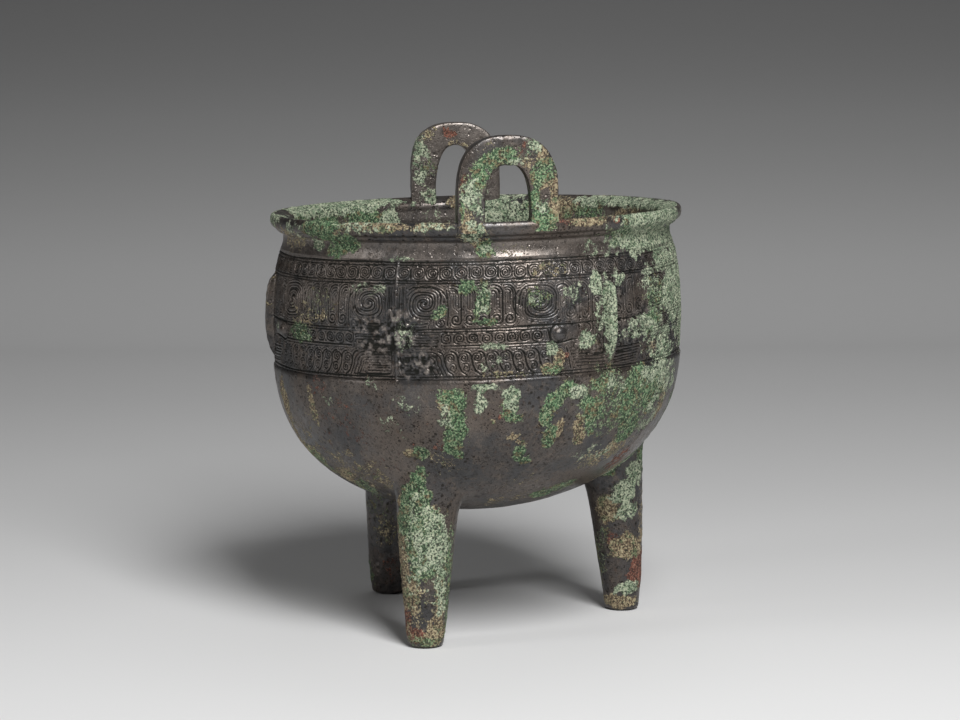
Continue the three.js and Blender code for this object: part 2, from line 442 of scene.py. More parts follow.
def wall_radius(z):
    """Outside radius of the band and the concave neck."""
    fine = np.linspace(100, 172, 721)
    rough = np.interp(fine, (100, 111.4, 128, 140, 149.2, 156.4, 158.4, 160.4, 162.6, 166),
                      (83.2, 84.4, 85.0, 84.4, 83.4, 81.6, 80.7, 80.1, 80.0, 80.6))
    window = np.hanning(27)
    padded = np.pad(rough, len(window) // 2, mode="edge")
    return np.interp(z, fine, np.convolve(padded, window / window.sum(), "valid"))


def even(points, n):
    """A number of points at equal steps along a polyline."""
    points = np.array(points, float)
    along = np.concatenate([[0], np.cumsum(np.hypot(*np.diff(points, axis=0).T))])
    at = np.linspace(0, along[-1], n)
    return np.stack([np.interp(at, along, points[:, k]) for k in range(2)], -1)


def resampled(points, step):
    """Points about a step apart along a polyline."""
    length = np.cumsum(np.hypot(*np.diff(np.array(points, float), axis=0).T))[-1]
    return even(points, max(2, int(round(length / step))) + 1)


def bottom_curve(radius, bottom, z_to, step):
    z = BOWL_MIDDLE - (BOWL_MIDDLE - bottom) * np.sin(np.linspace(math.pi / 2, 0, 400))
    z = z[z < z_to]
    curve = np.stack([bottom_radius(z, radius, bottom), z], -1)
    curve[0, 0] = 0.6
    return resampled(curve, step)


def bowl_profile():
    """Outline from the underside's centre, up the outside, over the lip and down the inside.
    Returns points and, for each, whether it is on the inside and how much the surface may roughen."""
    low = bottom_curve(BOWL_RADIUS, BOWL_BOTTOM, BAND_LOW - 0.3, 1.3 * SPARSE)
    sunk = [(wall_radius(BAND_LOW) + 0.02, BAND_LOW + 0.1), (wall_radius(BAND_LOW) - 0.9, BAND_LOW + 0.6),
            (wall_radius(BAND_HIGH) - 0.9, BAND_HIGH - 0.5)]
    neck_z = np.linspace(BAND_HIGH + 0.1, 163.7, 10)
    neck = np.stack([wall_radius(neck_z), neck_z], -1)
    lip = resampled([(80.7, 163.9), (81.4, 164.5), (82.5, 164.9), (82.7, 165.7), (83.0, 166.1),
                     (84.2, 166.6), (84.9, 167.8), (85.15, 169.2), (85.0, 170.6), (84.5, 171.5),
                     (83.6, 171.8), (80.5, 170.7), (78.1, 169.7), (77.3, 169.1), (77.0, 168.2),
                     (76.8, 166.5)], 0.75 * SPARSE)
    inside_z = np.linspace(165.5, BOWL_MIDDLE + 1, 20)
    inside = np.stack([wall_radius(inside_z) - WALL, inside_z], -1)
    floor = bottom_curve(BOWL_RADIUS - WALL, BOWL_BOTTOM + FLOOR, BOWL_MIDDLE, 2.6 * SPARSE)[::-1]
    parts = [low, sunk, neck, lip, inside, floor]
    rough = [1, 0, 1, 0.8, 1, 1]
    side = [0, 0, 0, 0, 1, 1]
    outline = np.concatenate([np.array(p) for p in parts])
    rough = np.concatenate([np.full(len(p), r) for p, r in zip(parts, rough)])
    side = np.concatenate([np.full(len(p), s) for p, s in zip(parts, side)])
    return outline, side, rough


def along_wall(angle):
    """Distance along the wall in millimetres from the front, for an angle in degrees."""
    return (np.asarray(angle) + 180) % 360 * MM_PER_DEGREE - 180 * MM_PER_DEGREE


def on_wall(groups):
    """Patches on the wall, placed by angle from the front instead of distance."""
    return [(float(along_wall(angle)), *rest) for angle, *rest in listed(groups)]


# patches on the outside of the wall
WALL_SPOTS = on_wall((
    # lip and neck
    (GREEN, (48, 168, 10, 5, .7), (46, 162, 10, 4, .55), (52, 165, 20, 3, .75), (3, 161, 4, 3.6, .75),
     (-46, 169, 10, 4.5, .8), (-40, 163.5, 8, 5, .72), (-43, 159.5, 5, 2.6, .6)),
    (PALE, (58, 169, 24, 6, .85), (60, 161, 28, 5.5, .8), (78, 160, 16, 7, .8), (34, 159.5, 5, 3, .45),
     (3, 161, 3, 2, .65), (-1, 168, 4, 4, .66, 20), (-12, 170, 8, 2, .46), (-32, 170, 12, 2.5, .5),
     (-51.5, 162, 3.6, 2.4, .95), (-60, 168, 7, 3, .5), (-22, 157.8, 7, 1, .5), (-88, 171, 24, 3, .75)),
    (OCHRE, (31, 171, 11, 2.2, .8), (11, 160.5, 7, 3, .36), (-1, 168, 4.5, 4, .6, 20), (0, 164.6, 4, 2, .6),
     (-12, 170.6, 7, 2, .6), (-27, 170.2, 16, 2.4, .62), (-44, 168, 10, 4, .65), (-66, 163, 12, 5, .5)),
    (RED, (40.5, 170, 1.8, 1.5, 1), (1.5, 163, 4, 2, .5), (24, 171, 8, 1.6, .5), (-74, 166, 8, 6, .35)),
    # band
    (GREEN, (-3, 147, 3.4, 2.6, .72), (1.2, 140.5, 2.6, 7, .64, -8), (1.5, 133, 5, 1.4, .66),
     (-9.6, 137.2, 4, 2, .62, 35), (16.5, 142, 6, 4, .5, 10), (32, 123, 3, 2, .6), (21, 113, 4, 2, .6),
     (60, 137, 10, 9, .56), (55, 127.5, 7, 4, .72), (-57, 126.5, 8, 3.2, .66), (-48, 140, 10, 6, .36)),
    (PALE, (1.8, 141, 2.6, 6, .5, -8), (5, 123.6, 5, 1.5, .6), (16, 142, 4, 2.2, .48), (27, 142, 5, 6, .44),
     (34, 145, 2.6, 4, .8), (37.4, 140, 2.3, 8, .72), (37.6, 126, 2.3, 9, .74), (31, 124, 4, 3.6, .62),
     (20.4, 121.6, 2.4, 3.2, .6), (42, 146, 4, 3.4, .6), (4, 117, 5, 2, .45, 20), (35, 133, 3, 7, .46),
     (66, 152, 12, 7, .72), (72, 137, 15, 14, .72), (57, 145, 8, 7, .5), (49, 126.5, 8, 4, .58, 20),
     (62, 122, 12, 5, .6), (64, 114, 12, 5, .7), (84, 134, 14, 20, .8), (-56, 127, 6, 2.4, .42),
     (-72, 128, 2.2, 2, .6), (-20, 127, 3.6, 5, .42), (-18, 133, 6, 2, .42), (-30, 146, 8, 2, .4)),
    (OCHRE, (22.4, 117, 2.6, 3.6, .9), (20.6, 113.4, 4, 2.2, .7), (7, 112.5, 8, 1.4, .5),
     (20.3, 152.2, 7, 3, .42), (58, 118, 8, 8, .4), (-53, 134, 13, 5, .42)),
    (RED, (24, 118, 1.6, 1.6, .9)),
    # round bottom, under the seam and left of the middle
    (GREEN, (-6.6, 104, 4.6, 3.6, .72), (-5.6, 98, 3.6, 6, .85), (-5.6, 90, 4.2, 5, .9),
     (-7.6, 84, 3.2, 4, .8), (-5.4, 80, 2.4, 2, .7), (-17, 80.4, 3.2, 3, .75), (-66, 74, 10, 6, .52),
     (-52, 62, 12, 4, .56, 20)),
    (PALE, (-8.6, 96, 3, 5, .55), (-19, 101.5, 6, 5, .4, -40), (-25, 92, 7, 4, .36, -20),
     (-29, 108, 4, 2, .48, -40), (-45, 101, 4, 2, .42)),
    (OCHRE, (-8, 100, 4, 4, .6), (-20.6, 80.8, 2.6, 1.8, .8), (-52.8, 99, 2.6, 9, .52),
     (-71, 95, 5, 12, .6), (-73, 82, 8, 8, .6), (-66, 76, 9, 5, .62), (-56, 67, 12, 5, .62, 20),
     (-30, 66, 14, 3, .5), (-12, 76, 12, 5, .36)),
    (RED, (-50, 106, 6, 4, .42), (-72, 98, 4, 8, .5), (-42, 91, 16, 12, .3), (-36, 81, 14, 10, .28),
     (-10, 84, 5, 3, .4)),
    # round bottom, right of the middle
    (GREEN, (8.4, 97, 3.2, 4, .72), (11, 94, 2.2, 2.4, .6), (12.4, 80, 3, 3.2, .85),
     (14.8, 76.4, 2.6, 1.6, .75), (25, 105, 4, 3, .85), (21, 101, 3.2, 3.6, .8, 40),
     (19.4, 94, 2.8, 5, .85), (21.2, 86, 2.6, 4.6, .85), (31.4, 99, 4, 4, .85), (33.8, 94, 4, 4.6, .85),
     (34, 88, 3, 4, .6), (35, 105.6, 6, 3.6, .8), (48, 103, 8, 6.5, .85), (46.6, 93, 4.5, 9, .75),
     (50, 86, 6, 8, .7), (57, 100, 8, 9, .8), (30, 58, 10, 2.6, .72), (37.6, 60.6, 9, 2.6, .6),
     (84, 84, 12, 12, .6), (44, 97, 26, 13, .52, -10)),
    (PALE, (2, 107.6, 4.6, 1.6, .75), (.7, 101, 2.4, 3.6, .75), (9.4, 103, 2.8, 4.5, .72, 10),
     (29, 103, 5, 3, .75), (41, 105, 6, 4, .6), (58, 106, 9, 4, .7), (60, 88, 8, 8, .46),
     (40, 77, 10, 4, .42), (66, 104, 14, 8, .55)),
    (OCHRE, (4.5, 94, 1, 1, .9), (10, 87, 3, 1.4, .72, 10), (12.8, 84, 2.6, 1.4, .72, -20),
     (20.6, 100, 2.2, 2, .9), (23.6, 88.6, 2, 3.6, .85), (29.6, 89.6, 2.4, 4.4, .85),
     (31, 84, 2.6, 3.4, .85), (34, 100, 2, 1.4, .8), (62.6, 101, 2.6, 6, .85), (66, 91, 3, 8, .62),
     (49, 76, 12, 5, .56), (42, 73, 9, 4, .5), (20, 58, 9, 3, .42), (8, 56, 7, 3, .5), (15, 64, 10, 5, .3),
     (52, 99, 18, 9, .42), (-62, 80, 16, 18, .36), (-48, 70, 24, 12, .38)),
    (RED, (6.2, 95.4, 1.1, 1.1, .9), (58, 70, 9, 6, .5), (-40, 84, 34, 22, .22)),
    # leg roots
    (GREEN, (-18, 72, 3, 4, .8), (-19, 64, 8, 4, .7), (100, 62, 12, 6, .7)),
    (PALE, (88, 66, 10, 8, .7)),
    (OCHRE, (70, 62, 12, 6, .5)),
))

# places where lumpy dark corrosion hides the ornament
LUMPY = on_wall((
    (GREEN, (-21, 128, 6, 7, .95), (-15, 117.5, 8, 4, .9), (-27, 125, 7, 4, .8, 20), (-22, 136, 3, 5, .7),
     (-30, 132, 9, 2.5, .7), (-33, 140, 3, 3, .5), (-27, 118, 8, 3, .45), (-12, 125, 5, 3, .5),
     (42, 141, 3, 5, .6), (50, 128, 8, 7, .7, 20), (28, 140, 4, 6, .55), (31, 121, 5, 4, .6),
     (128, 130, 12, 10, .6), (-120, 136, 12, 9, .6, 30), (-88, 122, 8, 6, .5), (190, 124, 14, 8, .5)),
))

# patches on the inside, seen over the rim
INSIDE_SPOTS = on_wall((
    (GREEN, (-105, 165, 12, 6, .8), (-122, 163, 9, 6, .9), (-140, 164.5, 10, 4, .85), (160, 165, 8, 6, .7),
     (140, 165, 12, 4, .6), (98, 166, 16, 4, .6), (-30, 170.4, 30, 2, .6), (140, 154, 20, 8, .45),
     (-140, 140, 30, 14, .5), (40, 130, 40, 20, .5), (-20, 90, 40, 12, .55), (-100, 70, 50, 10, .5)),
    (PALE, (-126, 170, 40, 3, .9), (-150, 162, 5, 5, .7), (-168, 164, 14, 7, .34), (172, 164, 14, 9, .75),
     (176, 169.5, 12, 2.4, .85), (132, 169.5, 24, 2.4, .7), (112, 169.5, 16, 2.4, .7),
     (80, 170, 34, 2.5, .85), (-70, 170.4, 24, 2.4, .7), (120, 110, 34, 14, .5)),
    (OCHRE, (-113, 161, 8, 4, .6), (-132, 159, 10, 3, .45), (-174, 170, 5, 2.5, .6), (166, 160, 10, 6, .6),
     (150, 166, 12, 5, .7), (120, 163, 16, 6, .6), (20, 170, 30, 2, .5), (-60, 120, 30, 20, .45),
     (160, 80, 50, 14, .5)),
    (RED, (100, 163, 20, 4, .5)),
))


def strewn(seed, count, angles, heights, size):
    """More patches of the same sorts for a side that is out of sight."""
    rng = np.random.default_rng(seed)
    rows = []
    for _ in range(count):
        kind = int(rng.choice([GREEN, GREEN, PALE, OCHRE, RED], p=[.3, .2, .25, .2, .05]))
        w = rng.uniform(*size)
        place = float(along_wall(rng.uniform(*angles)))
        rows.append((place, rng.uniform(*heights), w, w * rng.uniform(.4, 1), rng.uniform(-40, 40), kind,
                     rng.uniform(.5, .95)))
    return rows


WALL_SPOTS += strewn(4, 46, (92, 268), (60, 170), (4, 17))


def from_nearest(angle, centres):
    """Signed distance in millimetres along the wall from the nearest of the centres."""
    gap = (np.asarray(angle)[:, None] - np.array(centres)[None, :] + 180) % 360 - 180
    return gap[np.arange(len(gap)), np.abs(gap).argmin(1)] * MM_PER_DEGREE


# height and width of the plain grooves that run right round the band
BORDERS = ((156.4, 0.62), (155.2, 0.42), (149.3, 0.5), (148.2, 0.5), (130.7, 0.5), (112.0, 0.6),
           (110.75, 0.5))


def ornament(angles, heights):
    """Depth cut into the band, from 0 to 1, over a grid of angles and heights."""
    cut = np.zeros((len(angles), len(heights)))
    strokes = half_mask()
    edges = sorted([(a % 360, "seam") for a in SEAM_AT] + [(a % 360, "nose") for a in FLANGE_AT])
    turn = angles % 360
    for k, (start, kind) in enumerate(edges):
        width = (edges[(k + 1) % len(edges)][0] - start) % 360
        ahead = (turn - start) % 360
        inside = np.flatnonzero(ahead < width)
        share = ahead[inside] / width
        order = np.argsort(share)
        x = share[order] * UNIT if kind == "seam" else (1 - share[order]) * UNIT
        cut[inside[order]] = cut_depth(strokes, x, heights, 100 + k)
    for z, w in BORDERS:
        wander = 0.12 * np.sin(np.radians(angles) * 7 + z) + 0.08 * np.sin(np.radians(angles) * 17 + 2 * z)
        gap = np.abs(heights[None, :] - z - wander[:, None]) - w / 2
        cut = np.maximum(cut, 1 - smoothstep(-0.17, 0.2, gap))
    return cut


def nose_height(gap, z):
    """How far the ridge down the middle of a mask stands out."""
    at = (114.0, 117.1, 121.3, 126, 136, 142.8, 145.6, 148.2)
    rise = np.interp(z, at, (0, 1.7, 2.7, 3.1, 3.1, 2.8, 1.9, 0))
    return rise * (1 - smoothstep(1.55, 2.2, np.abs(gap)))


def eye_height(x, z):
    """The boss of an eye and its smooth tapering corner, from x along the half mask."""
    past = x - EYE_X
    ball = 1 - (past / 2.9) ** 2 - ((z - EYE_Z) / 2.7) ** 2
    boss = 1.7 * np.sqrt(np.clip(ball, 0, 1))
    tail = (1 - smoothstep(10.2, 11.6, past)) * smoothstep(0, 2, past)
    tail = tail * (1 - smoothstep(2.2, 3.0, np.abs(z - 127.6 + 0.03 * (x - 65))))
    return boss, tail


def band(material):
    """The ornament band as three curved slabs that meet under the mould seams."""
    columns, rows = BAND_COLUMNS, BAND_ROWS
    angles = SEAM_AT[0] + np.arange(columns) * 360 / columns
    heights = np.linspace(BAND_LOW, BAND_HIGH, rows)
    cut = ornament(angles, heights)
    a = np.repeat(angles, rows)
    z = np.tile(heights, columns)
    cut = cut.ravel()
    radius = wall_radius(z)
    turn = np.radians(FRONT + a)
    outward = np.stack([np.cos(turn), np.sin(turn), np.zeros(len(a))], -1)
    points = outward * radius[:, None]
    points[:, 2] = z
    nose_gap, seam_gap = from_nearest(a, FLANGE_AT), from_nearest(a, SEAM_AT)
    x = UNIT - np.abs(nose_gap)
    nose = nose_height(nose_gap, z)
    boss, tail = eye_height(x, z)
    seam = 1 - smoothstep(0.25, 0.75, np.abs(seam_gap + 0.3 * noise(points, 9.0, 3)))
    plain = np.maximum(np.clip(nose * 2, 0, 1), np.maximum(boss > 0.05, tail > 0.25) * 1.0)
    cut = cut * (1 - plain) * (1 - seam)
    cover = patches(along_wall(a), z, points, WALL_SPOTS, SPOTS_SEED)
    crust = crust_height(cover, points, CRUST_SEED)
    rough = patches(along_wall(a), z, points, LUMPY, 13)[:, GREEN]
    lumps = fbm(points, 1.7, 91, 2)
    wear = np.clip(0.9 + 0.28 * fbm(points, 16.0, 33, 3), 0.45, 1.0) - 0.3 * cover.max(1) - 0.6 * rough
    height = -0.55 * cut * wear + nose + np.maximum(boss, 0.25 * tail) + 0.26 * seam + crust
    height = height + skin(points, 0.10, SKIN_SEED) * (1 - 0.5 * cut) + 0.42 * rough * (lumps - 0.1)
    points = points + outward * height[:, None]
    grid = points.reshape(columns, rows, 3)
    wear_and_painted_light = (1 - np.clip(cut * 1.6, 0, 1)) * np.clip(0.6 + 0.5 * fbm(points, 12.0, 35, 3), 0.1, 1)
    # partly painted light: the worn ridges grow lighter towards the top of the band, standing in for light
    # from above
    wear_and_painted_light = wear_and_painted_light * (1 - 0.7 * plain) * (1 - 0.6 * seam) * np.clip((z - 100) / 45, 0.35, 1)
    cut = (cut * wear - wear_and_painted_light) * (1 - rough) + rough * np.clip(0.5 - 2.6 * lumps, -1.2, 0.9)
    cover, cut = cover.reshape(columns, rows, 4), cut.reshape(columns, rows)
    third = columns // 3
    for k, name in enumerate(("band_a", "band_b", "band_c")):
        take = (np.arange(third + 1) + k * third) % columns
        slab(name, grid[take], cover[take], cut[take], material)


def slab(name, grid, cover, cut, material):
    """One closed piece of the band: its carved face, and a plain back that lies in the wall."""
    n, m = grid.shape[:2]
    low, high = grid[:, 0].copy(), grid[:, -1].copy()
    for edge in (low, high):
        edge[:, :2] *= 0.978
    points = np.concatenate([grid.reshape(-1, 3), low, high])
    first_low, first_high = n * m, n * m + n
    j = np.arange(n - 1)
    face = grid_faces(n, m, False, flip=True)
    under = np.stack([j * m, first_low + j, first_low + j + 1, (j + 1) * m], -1)
    over = np.stack([j * m + m - 1, (j + 1) * m + m - 1, first_high + j + 1, first_high + j], -1)
    back = np.stack([first_low + j, first_high + j, first_high + j + 1, first_low + j + 1], -1)
    start = np.concatenate([[first_low], np.arange(m), [first_high]])[None, ::-1]
    end = np.concatenate([[first_low + n - 1], (n - 1) * m + np.arange(m), [first_high + n - 1]])[None, :]
    extra = np.zeros((2 * n, 4))
    cover = np.concatenate([cover.reshape(-1, 4), extra])
    cut = np.concatenate([cut.ravel(), np.zeros(2 * n)])
    sides = [under[:, ::-1], over[:, ::-1], back[:, ::-1], start, end]
    piece(name, points, [face], sides, cover, cut, material)


def bowl(material):
    """The round bottom, the neck, the lip and the whole inside, as one closed skin."""
    outline, side, rough = bowl_profile()
    columns = 480 // SPARSE
    rows = len(outline)
    a = np.tile(np.arange(columns) * 360 / columns, rows)
    r, z = np.repeat(outline[:, 0], columns), np.repeat(outline[:, 1], columns)
    rough, side = np.repeat(rough, columns), np.repeat(side, columns)
    turn = np.radians(FRONT + a)
    slope = np.gradient(outline, axis=0)
    slope /= np.linalg.norm(slope, axis=1)[:, None]
    out_r, out_z = np.repeat(slope[:, 1], columns), np.repeat(-slope[:, 0], columns)
    normal = np.stack([np.cos(turn) * out_r, np.sin(turn) * out_r, out_z], -1)
    points = np.stack([np.cos(turn) * r, np.sin(turn) * r, z], -1)
    outside = patches(along_wall(a), z, points, WALL_SPOTS, SPOTS_SEED)
    inside = patches(along_wall(a), z, points, INSIDE_SPOTS, 12)
    cover = np.where((side == 1)[:, None], inside, outside)
    lip_top = (side == 0) & (z > 164) & (r < 83.4) & ((r < 79) | (z > 169.5))
    cover[lip_top] = inside[lip_top]
    fade = smoothstep(2, 12, r)
    height = crust_height(cover, points, CRUST_SEED) + skin(points, 0.16, SKIN_SEED)
    height += pits(points, 1.8, 0.4, 51) * (z < 112)
    joint = softened(leg_gap(points)) * (side == 0) * (z < 100)
    points = points + normal * (height * rough * fade + joint)[:, None]
    seam = 1 - smoothstep(0.35, 1.0, np.abs(from_nearest(a, SEAM_AT)))
    seam *= (z > BAND_HIGH) & (z < 163) & (side == 0)
    points = points + normal * (0.22 * seam)[:, None]
    patchy = fbm(points, 15.0, 36, 3)
    lighter_metal = np.clip(0.32 * patchy, 0, 0.3)
    lighter_metal = np.where(side == 1, np.clip(0.6 + 0.4 * patchy, 0.2, 1), lighter_metal)
    # painted highlight: the neck gets lighter metal so that its highlight shines brighter
    neck_highlight = (side == 0) & (z > BAND_HIGH) & (z < 164)
    lighter_metal = np.where(neck_highlight, np.clip(0.5 + 0.5 * patchy, 0.1, 1), lighter_metal)
    points = np.concatenate([points, [(0, 0, BOWL_BOTTOM), (0, 0, BOWL_BOTTOM + FLOOR)]])
    j = np.arange(columns)
    nxt = (j + 1) % columns
    last = (rows - 1) * columns
    fan_low = np.stack([np.full(columns, rows * columns), nxt, j], -1)
    fan_high = np.stack([np.full(columns, rows * columns + 1), last + j, last + nxt], -1)
    polygons = [grid_faces(rows, columns, True), fan_low, fan_high]
    cover = np.concatenate([cover, np.zeros((2, 4))])
    piece("bowl", points, polygons, [], cover, -np.append(lighter_metal, (0, 0)), material)


# ---- legs --------------------------------------------------------------------------------
# patches on each leg, placed by distance round it from its outer side
LEG_SPOTS = (
    ((GREEN, (.5, 69, 2.6, 6, .8), (0, 61, 6.5, 6, .85), (0, 52, 10, 7, .8), (1, 41, 6, 8, .8),
      (3, 32, 6, 5, .75), (1, 2.2, 10, 2.2, .5), (14, 30, 5, 22, .55)),
     (PALE, (8, 44, 5, 12, .68), (9, 26, 3.4, 14, .62), (3, 44, 9, 22, .5)),
     (OCHRE, (-8, 46, 5, 13, .85), (-9, 31, 5.5, 12, .85), (-4, 24, 5, 8, .8), (7, 56, 3, 5, .6),
      (9, 22, 3.2, 15, .7), (7, 7, 4, 6, .8), (-16, 36, 6, 24, .55), (-3, 36, 9, 26, .5)),
     (RED, (-8, 12, 3.5, 8, .85), (-2, 5, 7, 3, .7), (-6, 33, 3, 5, .5))),
    ((GREEN, (-24, 63, 3.5, 6, .75), (-26, 24, 4, 14, .45), (-5, 64, 6, 6, .8)),
     (PALE, (-11.6, 58, 5, 5, .75, 45), (-17, 50, 5, 4, .8, 50), (-15, 42, 5, 3.5, .6), (-12, 10, 5, 3, .7),
      (6, 50, 6, 12, .6)),
     (OCHRE, (-23, 43, 5, 4.5, .75, 30), (-15, 27, 7, 5, .85), (-14, 4, 8, 3, .7), (-5, 40, 4, 12, .5),
      (12, 24, 6, 8, .6)),
     (RED, (-19, 30, 4, 4, .5), (-7, 18, 5, 7, .85))),
    ((GREEN, (24, 60, 8, 8, .42), (22, 44, 7, 12, .42), (-8, 50, 6, 9, .7), (6, 10, 6, 6, .6)),
     (PALE, (0, 24, 6, 12, .6), (2, 64, 8, 5, .65)),
     (OCHRE, (22, 30, 6, 10, .4), (-14, 24, 7, 10, .6)),
     (RED, (26, 12, 7, 8, .35))),
)


def leg(k, material):
    """One round leg, thicker upwards, let into the bowl with a soft fillet."""
    columns, rows = 112 // SPARSE, 92 // SPARSE
    turn = np.arange(columns) * 2 * math.pi / columns
    fine = np.linspace(30, 88, 700)[None, :]
    rho, away = leg_shape(fine)
    reach = np.hypot(away + rho * np.cos(turn)[:, None], rho * np.sin(turn)[:, None])
    outside = bottom_radius(fine)
    end = fine[0, (reach < outside - 2.2).argmax(1)]
    sole = np.array([(0.45, 0.0), (0.8, 0.0), (0.92, 0.25), (0.985, 0.8)])     # share of the radius, height
    share = np.linspace(0, 1, rows)[None, :]
    z = np.concatenate([np.repeat(sole[None, :, 1], columns, 0), 1.6 + (end[:, None] - 1.6) * share], 1)
    scale = np.concatenate([np.repeat(sole[None, :, 0], columns, 0), np.ones((columns, rows))], 1)
    radius, away = leg_shape(z)
    rho = radius * scale
    m = z.shape[1]
    c, s = np.cos(turn)[:, None], np.sin(turn)[:, None]
    rho = rho + softened(bowl_gap(np.hypot(away + rho * c, rho * s), z))
    out, side = facing(LEG_AT[k]), facing(LEG_AT[k] + 90)
    points = (away + rho * c)[..., None] * out + (rho * s)[..., None] * side
    points[..., 2] = z
    normal = (c[..., None] * out + s[..., None] * side).repeat(m, 1).reshape(-1, 3)
    points = points.reshape(-1, 3)
    u = ((turn + math.pi) % (2 * math.pi) - math.pi)[:, None] * radius
    cover = patches(u.ravel(), z.ravel(), points, listed(LEG_SPOTS[k]), 60 + k)
    height = crust_height(cover, points, 61) * 1.4 + skin(points, 0.22, 62 + k) + pits(points, 1.6, 0.3, 65)
    points = points + normal * (height * smoothstep(0.1, 2.5, z.ravel()))[:, None]
    points = np.concatenate([points, away[0, 0] * out[None, :]])
    j = np.arange(columns)
    fan = np.stack([np.full(columns, columns * m), ((j + 1) % columns) * m, j * m], -1)
    cap = (j * m + m - 1)[None, :]
    i = np.arange(m - 1)[None, :]
    a, b = j[:, None] * m, ((j + 1) % columns)[:, None] * m
    quads = np.stack([a + i, b + i, b + i + 1, a + i + 1], -1).reshape(-1, 4)
    cover = np.concatenate([cover, np.zeros((1, 4))])
    piece("leg_" + "abc"[k], points, [quads, fan], [cap], cover, np.zeros(len(points)), material)


# ---- handles -----------------------------------------------------------------------------
HANDLE_IN, HANDLE_OUT, HANDLE_FOOT = 76.2, 84.4, 167.6
ARCH_OUT = (20.0, 180.0, 205.2, 2.7)      # half width, shoulder, top, roundness
ARCH_IN = ((8.8, 174.5, 193.4, 2.7), (8.5, 173.5, 194.8, 2.3))

HANDLE_RUBBED = (0.25, 0.9)          # how far each is worn to lighter metal

# patches on each handle, placed by distance across it
HANDLE_SPOTS = (
    ((GREEN, (-2, 197, 6, 3, .8), (-8, 194.5, 5, 3.4, .85, 30), (-12, 190, 4.4, 5, .75, 10),
      (16, 192, 2.6, 5, .6), (11.6, 190, 3, 5, .7), (11, 182, 2.6, 6, .75), (13, 172, 4, 5, .75),
      (15.5, 168.6, 3.6, 3, .85), (-12.4, 186, 4, 6, .75), (-17.4, 177, 2, 6, .7)),
     (PALE, (2, 195, 5, 2, .5), (9, 199, 3, 4, .6), (13.4, 178, 2.4, 3, .7), (-13.6, 182, 4.4, 7, .66),
      (-12, 176, 3.4, 5, .6), (-14, 171, 3, 3, .6)),
     (OCHRE, (8, 195, 4, 3, .62, -20), (13, 197, 3.4, 3.4, .62, -30), (13.6, 187, 3, 4, .95, -20),
      (17.4, 179, 2, 8.5, 1), (-16, 174, 3, 7, .66), (-15, 169, 4.4, 3.4, .75), (-10, 200, 7, 4, .32, 20)),
     (RED, (15, 189, 3, 2, .6), (18, 180, 1.4, 7, .5), (12, 184, 2, 2, .4), (-16, 186, 2.4, 6, .6),
      (6.6, 200.4, 1.8, 1.8, .9))),
    ((GREEN, (-12, 186, 4, 6, .45), (14, 186, 3, 8, .4)),
     (PALE, (-16, 192, 4, 8, .62), (-15, 182, 3.4, 6, .6), (-12, 172, 5, 4, .6), (12, 172, 4, 5, .42)),
     (OCHRE, (-14, 199, 5, 3, .5, 30), (2, 196, 6, 2, .42)),
     (RED, (-3, 201, 4, 2, .75))),
)


def arch(half_width, shoulder, top, roundness):
    """The outline of an upright loop from foot to foot."""
    a = np.linspace(math.pi, 0, 90)
    c, s = np.cos(a), np.sin(a)
    x = half_width * np.sign(c) * np.abs(c) ** (2 / roundness)
    z = shoulder + (top - shoulder) * np.abs(s) ** (2 / roundness)
    leg_z = np.linspace(HANDLE_FOOT, shoulder, 30, endpoint=False)
    left = np.stack([np.full(len(leg_z), -half_width), leg_z], -1)
    right = left[::-1] * (-1, 1)
    return np.concatenate([left, np.stack([x, z], -1), right])


def handle(k, material):
    """One upright loop, a thick flat strap bent over, standing on the lip."""
    n, around = 200 // SPARSE, 56 // SPARSE
    angle, lift = HANDLE_AT[k]
    outer, inner = even(arch(*ARCH_OUT), n), even(arch(*ARCH_IN[k]), n)
    t = np.arange(around) * 2 * math.pi / around
    t = t + 0.16 * np.sin(4 * t)         # closer together round the corners
    power = 2 / 8                        # flat sides and small round corners
    u = np.sign(np.cos(t)) * np.abs(np.cos(t)) ** power
    w = np.sign(np.sin(t)) * np.abs(np.sin(t)) ** power
    middle, half = (outer + inner) / 2, (outer - inner) / 2
    flat = middle[:, None, :] + half[:, None, :] * u[None, :, None]
    radial = (HANDLE_IN + HANDLE_OUT) / 2 + (HANDLE_OUT - HANDLE_IN) / 2 * w[None, :].repeat(n, 0)
    out, side = facing(angle), facing(angle + 90)
    points = radial[..., None] * out + flat[..., :1] * side
    points[..., 2] = flat[..., 1]
    across = half / np.linalg.norm(half, axis=1)[:, None]
    nu, nw = np.cos(t) * np.abs(u) ** 3, np.sin(t) * np.abs(w) ** 3
    normal = nw[None, :, None] * out + (across[:, :1] * nu)[..., None] * side
    normal = normal + (across[:, 1:] * nu)[..., None] * np.array([0, 0, 1.0])
    normal /= np.linalg.norm(normal, axis=-1)[..., None]
    points, normal = points.reshape(-1, 3), normal.reshape(-1, 3)
    sign = 1 if k == 0 else -1
    place, height = sign * flat[..., 0].ravel(), flat[..., 1].ravel()
    cover = patches(place, height, points, listed(HANDLE_SPOTS[k]), 70 + k)
    height = crust_height(cover, points, 71) + skin(points, 0.2, 72) + pits(points, 1.4, 0.2, 75)
    points = points + normal * (height - 0.25)[:, None]
    points[:, 2] += lift * smoothstep(HANDLE_FOOT, 190, points[:, 2])
    caps = np.stack([np.arange(around)[::-1], (n - 1) * around + np.arange(around)])
    faces = grid_faces(n, around, True, flip=True)
    lighter_metal = HANDLE_RUBBED[k] * np.clip(0.8 + 0.4 * fbm(points, 9.0, 76, 3), 0, 1)
    piece("handle_" + "ab"[k], points, [faces], [caps], cover, -lighter_metal, material)


